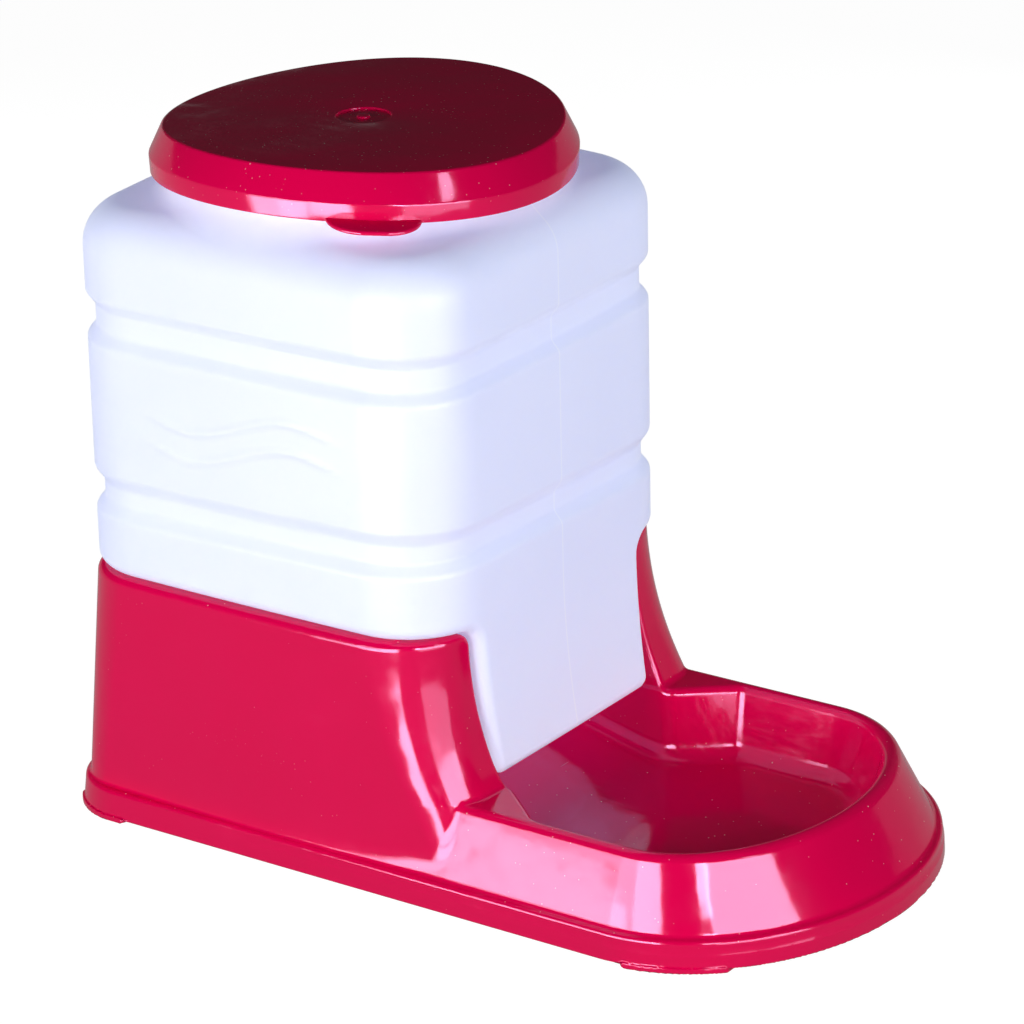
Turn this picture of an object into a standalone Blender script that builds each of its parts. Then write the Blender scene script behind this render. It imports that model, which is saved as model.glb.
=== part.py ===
"""Gravity feeder for poultry and small animals: a moulded base with a bowl, a blow-moulded hopper and a lid.

The hopper stands in the base's tower with its open foot over the bowl's feed channel, so feed runs down as it
is eaten. The lid lifts off to fill the hopper, and the hopper lifts out of the base for cleaning.

Units are metres. +Z is up, the bowl faces -Y, and the origin is under the middle of the footprint.
"""

import math

import bmesh
import bpy

MM = 0.001

# Fits between pieces
SEAT_GAP = 0.3 * MM  # between two faces that rest on each other
NECK_PLAY = 2.0 * MM  # round the hopper's neck inside the tower's seat
NOSE_PLAY = 1.6 * MM  # each side of the hopper's nose between the tower's front legs
OUTLET_PLAY = 1.6 * MM  # under the hopper's foot, above the deck
LID_PLAY = 1.6 * MM  # round the mouth, under the lid's brow

# Base: footprint, flange and feet
BASE_LENGTH = 298.6 * MM
BASE_WIDTH = 168 * MM
BASE_WALL = 2.2 * MM
FOOT_HEIGHT = 1.2 * MM
FOOT_ROOT = 1 * MM  # how far each foot reaches up into the flange
FOOT_PROUD = 0.5 * MM
FOOT_WIDTH = 7 * MM
FLANGE_HEIGHT = 10 * MM
FLANGE_LIP = 3.2 * MM  # from the flange's edge to the foot of the tower and of the bowl
FLANGE_DRAFT = 0.8 * MM
FLANGE_RADIUS = 27 * MM
WALL_ROOT = 1.5 * MM  # how far the tower's and the bowl's walls reach down into the flange
FRONT_FOOT_START = 7.5 * MM  # from the middle of the bowl's round front, along Y
FRONT_FOOT_LENGTH = 32 * MM
BACK_FOOT_LENGTH = 32 * MM
BACK_FOOT_WIDTH = 12 * MM

# Base: tower round the hopper's neck
TOWER_HEIGHT = 90.2 * MM
TOWER_DRAFT = 2.5 * MM  # each wall leans in by this much from the flange to the top
TOWER_RADIUS_FOOT = 15.5 * MM
TOWER_RADIUS_TOP = 23.5 * MM
TOWER_BOW = 2.4 * MM
SEAT_WIDTH = 7 * MM  # of the rim turned inwards at the tower's top, which carries the hopper
LEG_SWEEP = 12.5 * MM  # the front legs run forward by this much at the deck
LEG_SWEEP_POWER = 2.3
LEG_SETBACK = 3.1 * MM  # the legs' top stands behind the hopper's front face
DECK_HEIGHT = 35.2 * MM

# Base: front opening between the legs
OPENING_WIDTH_TOP = 99.6 * MM
OPENING_WIDTH_DECK = 95.6 * MM
OPENING_CORNER = 7 * MM

# Base: bowl
BOWL_REACH = 148.1 * MM  # from the hopper's axis to where the bowl's round front starts
RIM_SLOPE_SIDE = 10.6 * MM
RIM_SLOPE_FRONT = 14.3 * MM
RIM_WIDTH = 4.8 * MM
RIM_BEVEL = 0.9 * MM
BOWL_FLOOR = 10.2 * MM
BOWL_DRAFT_SIDE = 6.6 * MM
BOWL_DRAFT_FRONT = 8.6 * MM
BOWL_FILLET = 3.5 * MM
CHANNEL_WIDTH = 96.4 * MM
CHANNEL_DRAFT = 2.6 * MM
CHANNEL_FRONT = 89.6 * MM  # from the hopper's axis to where the bowl starts to widen
CHANNEL_BACK = 23 * MM  # from the hopper's axis back to where the channel's floor has risen to the deck
CHANNEL_RAMP = 108 * MM  # length of that sloping floor, along Y
LEDGE_LENGTH = 20.5 * MM

# Hopper
HOPPER_SIDE_STEP = 1.2 * MM  # each side stands in by this much from the tower's top
HOPPER_BACK_STEP = 0.7 * MM  # the back stands out by this much over the tower's top
HOPPER_RADIUS = 31 * MM
HOPPER_BOW = 0.45 * MM
HOPPER_WALL = 1.6 * MM
HOPPER_FOOT_RADIUS = 4.5 * MM
LOWER_PANEL = 21.2 * MM  # from the seat to the lower groove
MIDDLE_PANEL = 45.8 * MM  # between the grooves
UPPER_PANEL = 14.3 * MM  # from the upper groove to the shoulder
GROOVE_DEPTH = 3.3 * MM
GROOVE_FLANK_LOW = 5.5 * MM
GROOVE_FLAT = 6.5 * MM
GROOVE_FLANK_HIGH = 5 * MM
SHOULDER_RADIUS = 19.6 * MM
SHOULDER_TURN = 52  # degrees, before the shoulder turns from square to round
CROWN_RISE = 5 * MM
MOUTH_STEP = 11.1 * MM  # from the hopper's sides in to its round mouth
MOUTH_HEIGHT = 14.7 * MM
NOSE_RADIUS = 6 * MM
NOSE_LEAN = 5.5 * MM
FUNNEL_START = 60 * MM  # height above the ground where the neck starts to taper
FUNNEL_BACK = 17 * MM  # from the hopper's axis to the back of the outlet
NECK_RADIUS = 16 * MM

# Lid
LID_WALL = 2 * MM
LID_CHAMFER = 4.8 * MM
LID_CHAMFER_HEIGHT = 9.8 * MM
LID_SKIRT = 6.4 * MM
LID_SKIRT_DRAFT = 0.3 * MM
LID_SEAT_GAP = 0.5 * MM  # over the mouth, where the lid springs down
LID_BOW = 2.3 * MM  # the lid springs up by this much at the sides and down at front and back
GATE_RADIUS = 9.5 * MM
GATE_NUB_RADIUS = 2.2 * MM
GATE_DEPTH = 0.8 * MM
TAB_WIDTH = 32 * MM
TAB_REACH = 9 * MM
TAB_THICKNESS = 1.6 * MM
TAB_DROOP = 1.4 * MM
TAB_CORNER = 7 * MM
TAB_HEADING = 218.5  # degrees round the lid from +X

# How finely round shapes are cut
CORNER_STEPS = 6
SIDE_STEPS = 4
FRONT_STEPS = 26
LID_STEPS = 64
TOWER_STEPS = 8
SKIRT_STEPS = 2
ROUND_STEPS = 4
NOSE_STEPS = 5

# Places that follow from the sizes
FLANGE_TOP = FOOT_HEIGHT + FLANGE_HEIGHT
BODY_HALF = BASE_WIDTH / 2 - FLANGE_LIP
AXIS_Y = BASE_LENGTH / 2 - BASE_WIDTH / 2  # the hopper stands as far from the back as from the sides
BOWL_CENTRE = AXIS_Y - BOWL_REACH
BOWL_LENGTH = BASE_LENGTH / 2 - FLANGE_LIP + BOWL_CENTRE
TOWER_TOP_HALF = BODY_HALF - TOWER_DRAFT
HOPPER_HALF = TOWER_TOP_HALF - HOPPER_SIDE_STEP
HOPPER_HALF_DEPTH = TOWER_TOP_HALF + HOPPER_BACK_STEP
SEAT_HEIGHT = TOWER_HEIGHT + SEAT_GAP
OUTLET_HEIGHT = DECK_HEIGHT + OUTLET_PLAY
GROOVE_LOW = SEAT_HEIGHT + LOWER_PANEL
GROOVE_SPAN = GROOVE_FLANK_LOW + GROOVE_FLAT + GROOVE_FLANK_HIGH
GROOVE_HIGH = GROOVE_LOW + GROOVE_SPAN + MIDDLE_PANEL
SHOULDER_START = GROOVE_HIGH + GROOVE_SPAN + UPPER_PANEL
CROWN_START = SHOULDER_START + SHOULDER_RADIUS * math.sin(math.radians(SHOULDER_TURN))
MOUTH_RADIUS = HOPPER_HALF - MOUTH_STEP
MOUTH_TOP = CROWN_START + CROWN_RISE + MOUTH_HEIGHT
CREASE_RADIUS = MOUTH_RADIUS + LID_PLAY + LID_WALL / 2  # where the lid's flat top meets its brow
LID_RADIUS = CREASE_RADIUS + LID_CHAMFER
LID_UNDER = MOUTH_TOP + LID_SEAT_GAP + LID_BOW * (MOUTH_RADIUS / LID_RADIUS) ** 2
LID_TOP = LID_UNDER + LID_WALL
LID_BROW = LID_TOP - LID_CHAMFER_HEIGHT
LID_HEM = LID_BROW - LID_SKIRT
LEG_FRONT = AXIS_Y - HOPPER_HALF_DEPTH + LEG_SETBACK
NOSE_HALF = OPENING_WIDTH_DECK / 2 - NOSE_PLAY
MARGIN = 5 * MM  # how far a cutter runs past the face that it opens


# ---------------------------------------------------------------- plan outlines, lists of (x, y) turning left


def arc(cx, cy, radius, start, turn, steps):
    """Points on an arc about (cx, cy), angles in degrees, both ends included."""
    angles = [math.radians(start + turn * k / steps) for k in range(steps + 1)]
    return [(cx + radius * math.cos(a), cy + radius * math.sin(a)) for a in angles]


def rounded_box(half, front, back, radius, bow=0.0):
    """A rectangle with round corners, whose sides bulge by bow at their middle."""
    left, right = -half + bow + radius, half - bow - radius
    low, high = front + bow + radius, back - bow - radius
    centres = [(right, high), (left, high), (left, low), (right, low)]
    points = []
    for n, (cx, cy) in enumerate(centres):
        points += arc(cx, cy, radius, n * 90, 90, CORNER_STEPS)
        if bow:
            next_x, next_y = centres[(n + 1) % 4]
            x0, y0 = points[-1]
            angle = math.radians((n + 1) * 90)
            x1, y1 = next_x + radius * math.cos(angle), next_y + radius * math.sin(angle)
            out_x, out_y = math.cos(angle), math.sin(angle)
            for k in range(1, SIDE_STEPS):
                t = k / SIDE_STEPS
                bulge = bow * 4 * t * (1 - t)
                points.append((x0 + (x1 - x0) * t + out_x * bulge, y0 + (y1 - y0) * t + out_y * bulge))
    return points


def round_front(half, length):
    """The bowl's front as half an ellipse, from its left end to its right end."""
    angles = [math.pi + math.pi * k / FRONT_STEPS for k in range(FRONT_STEPS + 1)]
    return [(half * math.cos(a), BOWL_CENTRE + length * math.sin(a)) for a in angles]


def bowl_outline(half, length, back):
    """Straight sides and a round front, closed straight across at the back."""
    return [(half, back), (-half, back)] + round_front(half, length)


def footprint(inset, corner_radius):
    """The whole base in plan: rounded at the back and elliptical at the front."""
    half, back = BASE_WIDTH / 2 - inset, BASE_LENGTH / 2 - inset
    length = BASE_LENGTH / 2 - inset + BOWL_CENTRE
    right = arc(half - corner_radius, back - corner_radius, corner_radius, 0, 90, CORNER_STEPS)
    left = arc(corner_radius - half, back - corner_radius, corner_radius, 90, 90, CORNER_STEPS)
    return right + left + round_front(half, length)


def basin_outline(grow, sink):
    """The bowl's hollow in plan, grown by grow all round; sink runs from 0 at the rim to 1 at the floor."""
    half = BODY_HALF - RIM_SLOPE_SIDE - RIM_WIDTH - BOWL_DRAFT_SIDE * sink + grow
    length = BOWL_LENGTH - RIM_SLOPE_FRONT - RIM_WIDTH - BOWL_DRAFT_FRONT * sink + grow
    channel = CHANNEL_WIDTH / 2 - CHANNEL_DRAFT * sink + grow
    front = AXIS_Y - CHANNEL_FRONT - CHANNEL_DRAFT * sink + grow
    back = AXIS_Y + CHANNEL_BACK - CHANNEL_RAMP * sink + grow
    ledge_end = front - LEDGE_LENGTH
    left = [(-channel, back), (-channel, front), (-half, ledge_end)]
    right = [(half, ledge_end), (channel, front), (channel, back)]
    return left + round_front(half, length) + right


# ---------------------------------------------------------------- building


def clear_scene():
    for item in list(bpy.data.objects):
        bpy.data.objects.remove(item, do_unlink=True)


def plastic(name, colour, roughness, clear=0.0):
    """A moulded plastic. Clear is how much light passes through it."""
    material = bpy.data.materials.new(name)
    material.use_nodes = True
    shader = material.node_tree.nodes["Principled BSDF"]
    shader.inputs["Base Color"].default_value = colour
    shader.inputs["Roughness"].default_value = roughness
    shader.inputs["Metallic"].default_value = 0.0
    shader.inputs["Transmission Weight"].default_value = clear
    return material


def add_object(name, mesh, material=None):
    item = bpy.data.objects.new(name, mesh)
    bpy.context.scene.collection.objects.link(item)
    if material:
        mesh.materials.append(material)
    else:
        item.hide_render = True
        item.display_type = "WIRE"
    return item


def loft(name, sections, material=None):
    """A solid through level sections, a list of (height, outline) from the bottom up with equal point counts."""
    bm = bmesh.new()
    rings = [[bm.verts.new((x, y, z)) for x, y in outline] for z, outline in sections]
    count = len(rings[0])
    for low, high in zip(rings, rings[1:]):
        for k in range(count):
            after = (k + 1) % count
            bm.faces.new((low[k], low[after], high[after], high[k]))
    bmesh.ops.triangulate(bm, faces=bm.faces)
    bm.faces.new(rings[0][::-1])
    bm.faces.new(rings[-1])
    mesh = bpy.data.meshes.new(name)
    bm.to_mesh(mesh)
    bm.free()
    return add_object(name, mesh, material)


def across(name, outline, y0, y1):
    """A cutter with its outline, (x, z) points, in the XZ plane and its length along Y."""
    bm = bmesh.new()
    near = [bm.verts.new((x, y0, z)) for x, z in outline]
    far = [bm.verts.new((x, y1, z)) for x, z in outline]
    count = len(outline)
    for k in range(count):
        after = (k + 1) % count
        bm.faces.new((near[k], near[after], far[after], far[k]))
    bm.faces.new(near[::-1])
    bm.faces.new(far)
    bmesh.ops.recalc_face_normals(bm, faces=bm.faces)
    mesh = bpy.data.meshes.new(name)
    bm.to_mesh(mesh)
    bm.free()
    return add_object(name, mesh)


def cube(name, low, high):
    outline = [(high[0], high[1]), (low[0], high[1]), (low[0], low[1]), (high[0], low[1])]
    return loft(name, [(low[2], outline), (high[2], outline)])


def combine(target, tool, operation):
    change = target.modifiers.new(f"{operation.lower()}_{tool.name}", "BOOLEAN")
    change.operation = operation
    change.object = tool
    change.solver = "EXACT"


def smooth(item, angle):
    mesh = item.data
    mesh.shade_smooth()
    mesh.set_sharp_from_angle(angle=math.radians(angle))


# ---------------------------------------------------------------- base


def leg_front(z):
    """Y of the tower's front face at a height: nearly upright at the top, sweeping forward to the deck."""
    drop = max(0.0, (TOWER_HEIGHT - z) / (TOWER_HEIGHT - DECK_HEIGHT))
    return LEG_FRONT - LEG_SWEEP * min(drop, 1.0) ** LEG_SWEEP_POWER


def tower_outline(z, inset):
    rise = max(0.0, (z - FLANGE_TOP) / (TOWER_HEIGHT - FLANGE_TOP))
    half = BODY_HALF - TOWER_DRAFT * rise - inset
    radius = TOWER_RADIUS_FOOT + (TOWER_RADIUS_TOP - TOWER_RADIUS_FOOT) * rise - inset
    return rounded_box(half, leg_front(z) + inset, AXIS_Y + half, radius, TOWER_BOW)


def tower_levels(low, high, count):
    return [low + (high - low) * k / count for k in range(count + 1)]


def bowl_body(name, inset, low, high, back, material=None):
    """The bowl's sloping outside, from the flange to the rim, inset from its outer face."""
    sections = []
    for z in (low, high):
        rise = (z - FLANGE_TOP) / (DECK_HEIGHT - FLANGE_TOP)
        half = BODY_HALF - RIM_SLOPE_SIDE * rise - inset
        length = BOWL_LENGTH - RIM_SLOPE_FRONT * rise - inset
        sections.append((z, bowl_outline(half, length, back)))
    return loft(name, sections, material)


def basin(name, grow):
    """The bowl's hollow with its channel under the hopper. Its lip and its floor edge are eased."""
    depth = DECK_HEIGHT - BOWL_FLOOR
    wall_foot = BOWL_FLOOR + BOWL_FILLET
    foot_sink = (DECK_HEIGHT - wall_foot) / depth
    ease = BOWL_FILLET * (1 - math.sqrt(0.5))  # of a round fillet half way along it
    sections = [
        (BOWL_FLOOR - grow, basin_outline(grow - BOWL_FILLET, 1.0)),
        (BOWL_FLOOR - grow + ease, basin_outline(grow - ease, 1.0)),
        (wall_foot - grow, basin_outline(grow, foot_sink)),
        (DECK_HEIGHT - RIM_BEVEL, basin_outline(grow, RIM_BEVEL / depth)),
        (DECK_HEIGHT + MARGIN, basin_outline(grow + RIM_BEVEL + MARGIN, 0.0)),
    ]
    return loft(name, sections)


def opening():
    """The cutter that parts the tower's front into two legs with round upper corners."""
    top, deck = OPENING_WIDTH_TOP / 2, OPENING_WIDTH_DECK / 2
    corner_z = TOWER_HEIGHT - OPENING_CORNER
    right = arc(top + OPENING_CORNER, corner_z, OPENING_CORNER, 180, -90, CORNER_STEPS)
    left = [(-x, z) for x, z in right[::-1]]
    roof = TOWER_HEIGHT + MARGIN
    peak = top + OPENING_CORNER
    outline = [(-deck, DECK_HEIGHT), (deck, DECK_HEIGHT)] + right + [(peak, roof), (-peak, roof)] + left
    front = LEG_FRONT - LEG_SWEEP - MARGIN
    return across("opening", outline, front, LEG_FRONT + SEAT_WIDTH + TOWER_BOW + MARGIN)


def underside():
    """The hollow under the base: the flange, the tower's foot and the bowl's skirt, round the basin."""
    wall = BASE_WALL + FLANGE_DRAFT
    flange = footprint(wall, FLANGE_RADIUS - wall)
    ceiling = FLANGE_TOP - BASE_WALL
    core = loft("underside", [(-MARGIN, flange), (ceiling, flange)])
    deck = DECK_HEIGHT - BASE_WALL
    root = ceiling - WALL_ROOT
    levels = tower_levels(root, deck, SKIRT_STEPS)
    combine(core, loft("under_tower", [(z, tower_outline(z, BASE_WALL)) for z in levels]), "UNION")
    lip = DECK_HEIGHT - 2 * BASE_WALL
    combine(core, bowl_body("under_bowl", BASE_WALL, root, lip, AXIS_Y), "UNION")
    combine(core, basin("basin_skin", BASE_WALL), "DIFFERENCE")
    return core


def feet():
    """Four pads under the flange, at the bowl's shoulders and at the back corners."""
    high = FOOT_HEIGHT + FOOT_ROOT
    outer = footprint(-FOOT_PROUD, FLANGE_RADIUS + FOOT_PROUD)
    inner = footprint(FOOT_WIDTH - FOOT_PROUD, FLANGE_RADIUS - FOOT_WIDTH + FOOT_PROUD)
    pads = loft("feet", [(0.0, outer), (high, outer)])
    combine(pads, loft("feet_inside", [(-MARGIN, inner), (high + MARGIN, inner)]), "DIFFERENCE")
    front = BOWL_CENTRE - FRONT_FOOT_START
    tip = front - FRONT_FOOT_LENGTH
    back = BASE_LENGTH / 2 - BACK_FOOT_LENGTH
    width = BASE_WIDTH / 2 - BACK_FOOT_WIDTH
    top = high + MARGIN
    gaps = (
        cube("before_feet", (-BASE_WIDTH, -BASE_LENGTH, -MARGIN), (BASE_WIDTH, tip, top)),
        cube("between_feet", (-BASE_WIDTH, front, -MARGIN), (BASE_WIDTH, back, top)),
        cube("behind_feet", (-width, back - MARGIN, -MARGIN), (width, BASE_LENGTH, top)),
    )
    for gap in gaps:
        combine(pads, gap, "DIFFERENCE")
    return pads


def make_base(material):
    """One moulding: flange, tower, bowl and feet, hollow underneath."""
    root = FLANGE_TOP - WALL_ROOT
    levels = tower_levels(root, DECK_HEIGHT, SKIRT_STEPS)
    levels += tower_levels(DECK_HEIGHT, TOWER_HEIGHT, TOWER_STEPS)[1:]
    base = loft("base", [(z, tower_outline(z, 0.0)) for z in levels], material)
    inside = tower_levels(DECK_HEIGHT, TOWER_HEIGHT - BASE_WALL, TOWER_STEPS)
    combine(base, loft("tower_room", [(z, tower_outline(z, BASE_WALL)) for z in inside]), "DIFFERENCE")
    seat = tower_outline(TOWER_HEIGHT, SEAT_WIDTH)
    seat_levels = (TOWER_HEIGHT - BASE_WALL - MARGIN, TOWER_HEIGHT + MARGIN)
    combine(base, loft("seat_hole", [(z, seat) for z in seat_levels]), "DIFFERENCE")
    combine(base, opening(), "DIFFERENCE")
    body = bowl_body("bowl_body", 0.0, root, DECK_HEIGHT, AXIS_Y)
    combine(base, body, "UNION")
    flange = footprint(0.0, FLANGE_RADIUS)
    flange_top = footprint(FLANGE_DRAFT, FLANGE_RADIUS - FLANGE_DRAFT)
    combine(base, loft("flange", [(FOOT_HEIGHT, flange), (FLANGE_TOP, flange_top)]), "UNION")
    combine(base, basin("basin", 0.0), "DIFFERENCE")
    combine(base, underside(), "DIFFERENCE")
    combine(base, feet(), "UNION")
    smooth(base, 30)
    return base


# ---------------------------------------------------------------- hopper


def hopper_outline(inset, blend=0.0, radius=MOUTH_RADIUS):
    """The hopper's plan, inset from its full size, and blended from square (0) to a round one (1)."""
    depth = HOPPER_HALF_DEPTH - inset
    square = rounded_box(HOPPER_HALF - inset, -depth, depth, HOPPER_RADIUS - inset, HOPPER_BOW)
    points = []
    for x, y in square:
        scale = 1 + blend * (radius / math.hypot(x, y) - 1)
        points.append((x * scale, y * scale + AXIS_Y))
    return points


def groove(start, wall):
    """Sections of one waist groove: a flank in, a flat and a flank out."""
    foot = start + GROOVE_FLANK_LOW
    head = foot + GROOVE_FLAT
    end = head + GROOVE_FLANK_HIGH
    return [
        (start, hopper_outline(wall)),
        (foot, hopper_outline(wall + GROOVE_DEPTH)),
        (head, hopper_outline(wall + GROOVE_DEPTH)),
        (end, hopper_outline(wall)),
    ]


def hopper_body(name, wall, material=None):
    """The hopper above its seat, inset by wall from its outer face and open upwards when wall is not 0."""
    sections = []
    for k in range(ROUND_STEPS + 1):
        turn = math.radians(90 * k / ROUND_STEPS)
        rise = HOPPER_FOOT_RADIUS * (1 - math.cos(turn))
        inset = wall + HOPPER_FOOT_RADIUS * (1 - math.sin(turn))
        sections.append((SEAT_HEIGHT + wall + rise, hopper_outline(inset)))
    sections += groove(GROOVE_LOW, wall) + groove(GROOVE_HIGH, wall)
    radius = SHOULDER_RADIUS - wall
    for k in range(ROUND_STEPS + 1):
        turn = math.radians(SHOULDER_TURN * k / ROUND_STEPS)
        inset = wall + radius * (1 - math.cos(turn))
        sections.append((SHOULDER_START + radius * math.sin(turn), hopper_outline(inset)))
    crown_inset = SHOULDER_RADIUS * (1 - math.cos(math.radians(SHOULDER_TURN))) + wall
    mouth = MOUTH_RADIUS - wall
    for k in range(1, ROUND_STEPS + 1):
        blend = k / ROUND_STEPS
        rise = CROWN_RISE * math.sin(math.radians(90 * blend))
        sections.append((CROWN_START + rise - wall, hopper_outline(crown_inset, blend, mouth)))
    sections.append((MOUTH_TOP + wall, hopper_outline(crown_inset, 1.0, mouth)))
    return loft(name, sections, material)


def hopper_neck(name, wall):
    """The part inside the tower, which tapers to the outlet above the feed channel."""
    half = TOWER_TOP_HALF - TOWER_BOW - SEAT_WIDTH - NECK_PLAY - wall
    front = LEG_FRONT + TOWER_BOW + SEAT_WIDTH + NECK_PLAY + wall
    outlet_half = NOSE_HALF - wall
    outlet_back = AXIS_Y - FUNNEL_BACK - wall
    radius = NECK_RADIUS - wall
    outlet_radius = NOSE_RADIUS - wall
    low = OUTLET_HEIGHT - wall
    top = SEAT_HEIGHT + 2 * HOPPER_FOOT_RADIUS
    return loft(
        name,
        [
            (low, rounded_box(outlet_half, front, outlet_back, outlet_radius)),
            (OUTLET_HEIGHT + MARGIN, rounded_box(outlet_half, front, outlet_back, outlet_radius)),
            (FUNNEL_START, rounded_box(half, front, AXIS_Y + half, radius)),
            (top, rounded_box(half, front, AXIS_Y + half, radius)),
        ],
    )


def hopper_nose(name, wall):
    """The part that shows between the tower's legs, leaning forward over the bowl."""
    top = SEAT_HEIGHT + 2 * HOPPER_FOOT_RADIUS
    low = OUTLET_HEIGHT - wall
    back = AXIS_Y - HOPPER_HALF_DEPTH / 2
    sections = []
    for z in tower_levels(low, top, NOSE_STEPS):
        drop = (top - z) / (top - OUTLET_HEIGHT)
        front = AXIS_Y - HOPPER_HALF_DEPTH + SEAT_GAP - NOSE_LEAN * drop**2 + wall
        sections.append((z, rounded_box(NOSE_HALF - wall, front, back, NOSE_RADIUS - wall)))
    return loft(name, sections)


def make_hopper(material):
    """A thin-walled tank with two waist grooves, a round mouth and an open foot."""
    hopper = hopper_body("hopper", 0.0, material)
    combine(hopper, hopper_neck("neck", 0.0), "UNION")
    combine(hopper, hopper_nose("nose", 0.0), "UNION")
    inside = hopper_body("inside", HOPPER_WALL)
    combine(inside, hopper_neck("neck_inside", HOPPER_WALL), "UNION")
    combine(inside, hopper_nose("nose_inside", HOPPER_WALL), "UNION")
    combine(hopper, inside, "DIFFERENCE")
    smooth(hopper, 30)
    return hopper


# ---------------------------------------------------------------- lid


def lid_profile():
    """The lid's section, (radius, height) from the middle of its top outwards and back underneath."""
    hem_radius = LID_RADIUS - LID_SKIRT_DRAFT
    return [
        (0.0, LID_TOP),
        (GATE_NUB_RADIUS, LID_TOP),
        (GATE_NUB_RADIUS, LID_TOP - GATE_DEPTH),
        (GATE_RADIUS, LID_TOP - GATE_DEPTH),
        (GATE_RADIUS, LID_TOP),
        (CREASE_RADIUS / 2, LID_TOP),
        (CREASE_RADIUS, LID_TOP),
        (LID_RADIUS, LID_BROW),
        (hem_radius, LID_HEM),
        (hem_radius - LID_WALL, LID_HEM),
        (LID_RADIUS - LID_WALL, LID_BROW),
        (CREASE_RADIUS - LID_WALL / 2, LID_UNDER),
        (CREASE_RADIUS / 2, LID_UNDER),
        (0.0, LID_UNDER),
    ]


def turned(name, profile, material):
    """A solid turned about the hopper's axis. The profile starts and ends on the axis."""
    bm = bmesh.new()
    first = bm.verts.new((0.0, AXIS_Y, profile[0][1]))
    last = bm.verts.new((0.0, AXIS_Y, profile[-1][1]))
    rings = []
    for radius, z in profile[1:-1]:
        circle = []
        for k in range(LID_STEPS):
            angle = 2 * math.pi * k / LID_STEPS
            circle.append(bm.verts.new((radius * math.cos(angle), AXIS_Y + radius * math.sin(angle), z)))
        rings.append(circle)
    for k in range(LID_STEPS):
        after = (k + 1) % LID_STEPS
        bm.faces.new((first, rings[0][k], rings[0][after]))
        for upper, lower in zip(rings, rings[1:]):
            bm.faces.new((upper[k], lower[k], lower[after], upper[after]))
        bm.faces.new((last, rings[-1][after], rings[-1][k]))
    mesh = bpy.data.meshes.new(name)
    bm.to_mesh(mesh)
    bm.free()
    return add_object(name, mesh, material)


def finger_tab():
    """A thin tongue that leaves the lid's hem at one side and droops a little."""
    root = LID_RADIUS - LID_WALL
    tip = LID_RADIUS + TAB_REACH
    half = TAB_WIDTH / 2
    outline = [(root, -half), (tip - TAB_CORNER, -half)]
    outline += arc(tip - TAB_CORNER, TAB_CORNER - half, TAB_CORNER, 270, 90, CORNER_STEPS)[1:]
    outline += arc(tip - TAB_CORNER, half - TAB_CORNER, TAB_CORNER, 0, 90, CORNER_STEPS)
    outline += [(root, half)]
    heading = math.radians(TAB_HEADING)
    bm = bmesh.new()
    layers = []
    for lift in (0.0, TAB_THICKNESS):
        layer = []
        for u, v in outline:
            x = u * math.cos(heading) - v * math.sin(heading)
            y = u * math.sin(heading) + v * math.cos(heading)
            droop = TAB_DROOP * (u - root) / (tip - root)
            layer.append(bm.verts.new((x, AXIS_Y + y, LID_HEM + lift - droop)))
        layers.append(layer)
    count = len(outline)
    for k in range(count):
        after = (k + 1) % count
        bm.faces.new((layers[0][k], layers[0][after], layers[1][after], layers[1][k]))
    bm.faces.new(layers[0][::-1])
    bm.faces.new(layers[1])
    mesh = bpy.data.meshes.new("tab")
    bm.to_mesh(mesh)
    bm.free()
    return add_object("tab", mesh)


def bend_lid(mesh):
    """Springs the lid into its slight saddle: up at the sides, down at the front and back."""
    for vertex in mesh.vertices:
        x, y = vertex.co.x, vertex.co.y - AXIS_Y
        vertex.co.z += LID_BOW * (x * x - y * y) / LID_RADIUS**2


def make_lid(material):
    """A round cover with a chamfered brow, a short skirt, a gate mark and a finger tab."""
    lid = turned("lid", lid_profile(), material)
    bend_lid(lid.data)
    tab = finger_tab()
    bend_lid(tab.data)
    combine(lid, tab, "UNION")
    smooth(lid, 30)
    return lid


def main():
    clear_scene()
    red = plastic("crimson_polypropylene", (0.68, 0.0, 0.07, 1.0), 0.18)
    white = plastic("natural_polyethylene", (0.86, 0.88, 0.95, 1.0), 0.4, 0.25)
    make_base(red)
    make_hopper(white)
    make_lid(red)


main()
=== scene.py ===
"""A gravity feeder for hens and small animals: crimson base, milky hopper and crimson lid, on a white studio floor.

The base and the hopper are drawn from distance fields in millimetres, in the CAD's frame: X runs across the feeder,
Y from the bowl in front (below 0) to the back, and Z up from the ground. A field is below 0 inside its shape."""

import math

import bpy
import numpy as np
from mathutils import Matrix, Vector


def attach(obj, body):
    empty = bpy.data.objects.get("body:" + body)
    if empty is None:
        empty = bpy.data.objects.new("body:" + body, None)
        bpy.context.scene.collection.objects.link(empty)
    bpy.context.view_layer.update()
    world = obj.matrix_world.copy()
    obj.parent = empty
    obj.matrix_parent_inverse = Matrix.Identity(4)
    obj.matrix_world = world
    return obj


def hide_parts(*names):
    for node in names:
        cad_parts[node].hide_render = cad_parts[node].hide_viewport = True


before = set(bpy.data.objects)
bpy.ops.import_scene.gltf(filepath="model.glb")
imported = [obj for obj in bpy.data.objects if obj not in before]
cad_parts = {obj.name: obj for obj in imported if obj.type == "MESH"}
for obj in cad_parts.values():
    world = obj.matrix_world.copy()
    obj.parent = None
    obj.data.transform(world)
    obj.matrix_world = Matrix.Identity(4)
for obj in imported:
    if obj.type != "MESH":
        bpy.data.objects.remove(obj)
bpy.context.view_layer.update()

# ---------------------------------------------------------------- base
# The base is one injection moulding in glossy crimson polypropylene: a tower that carries the hopper, a bowl with a
# feed channel that slopes down to it, a flange and four low pads, all about 2.2 mm thick and hollow underneath. It
# stands on its pads, and nothing is fixed to it.

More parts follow.
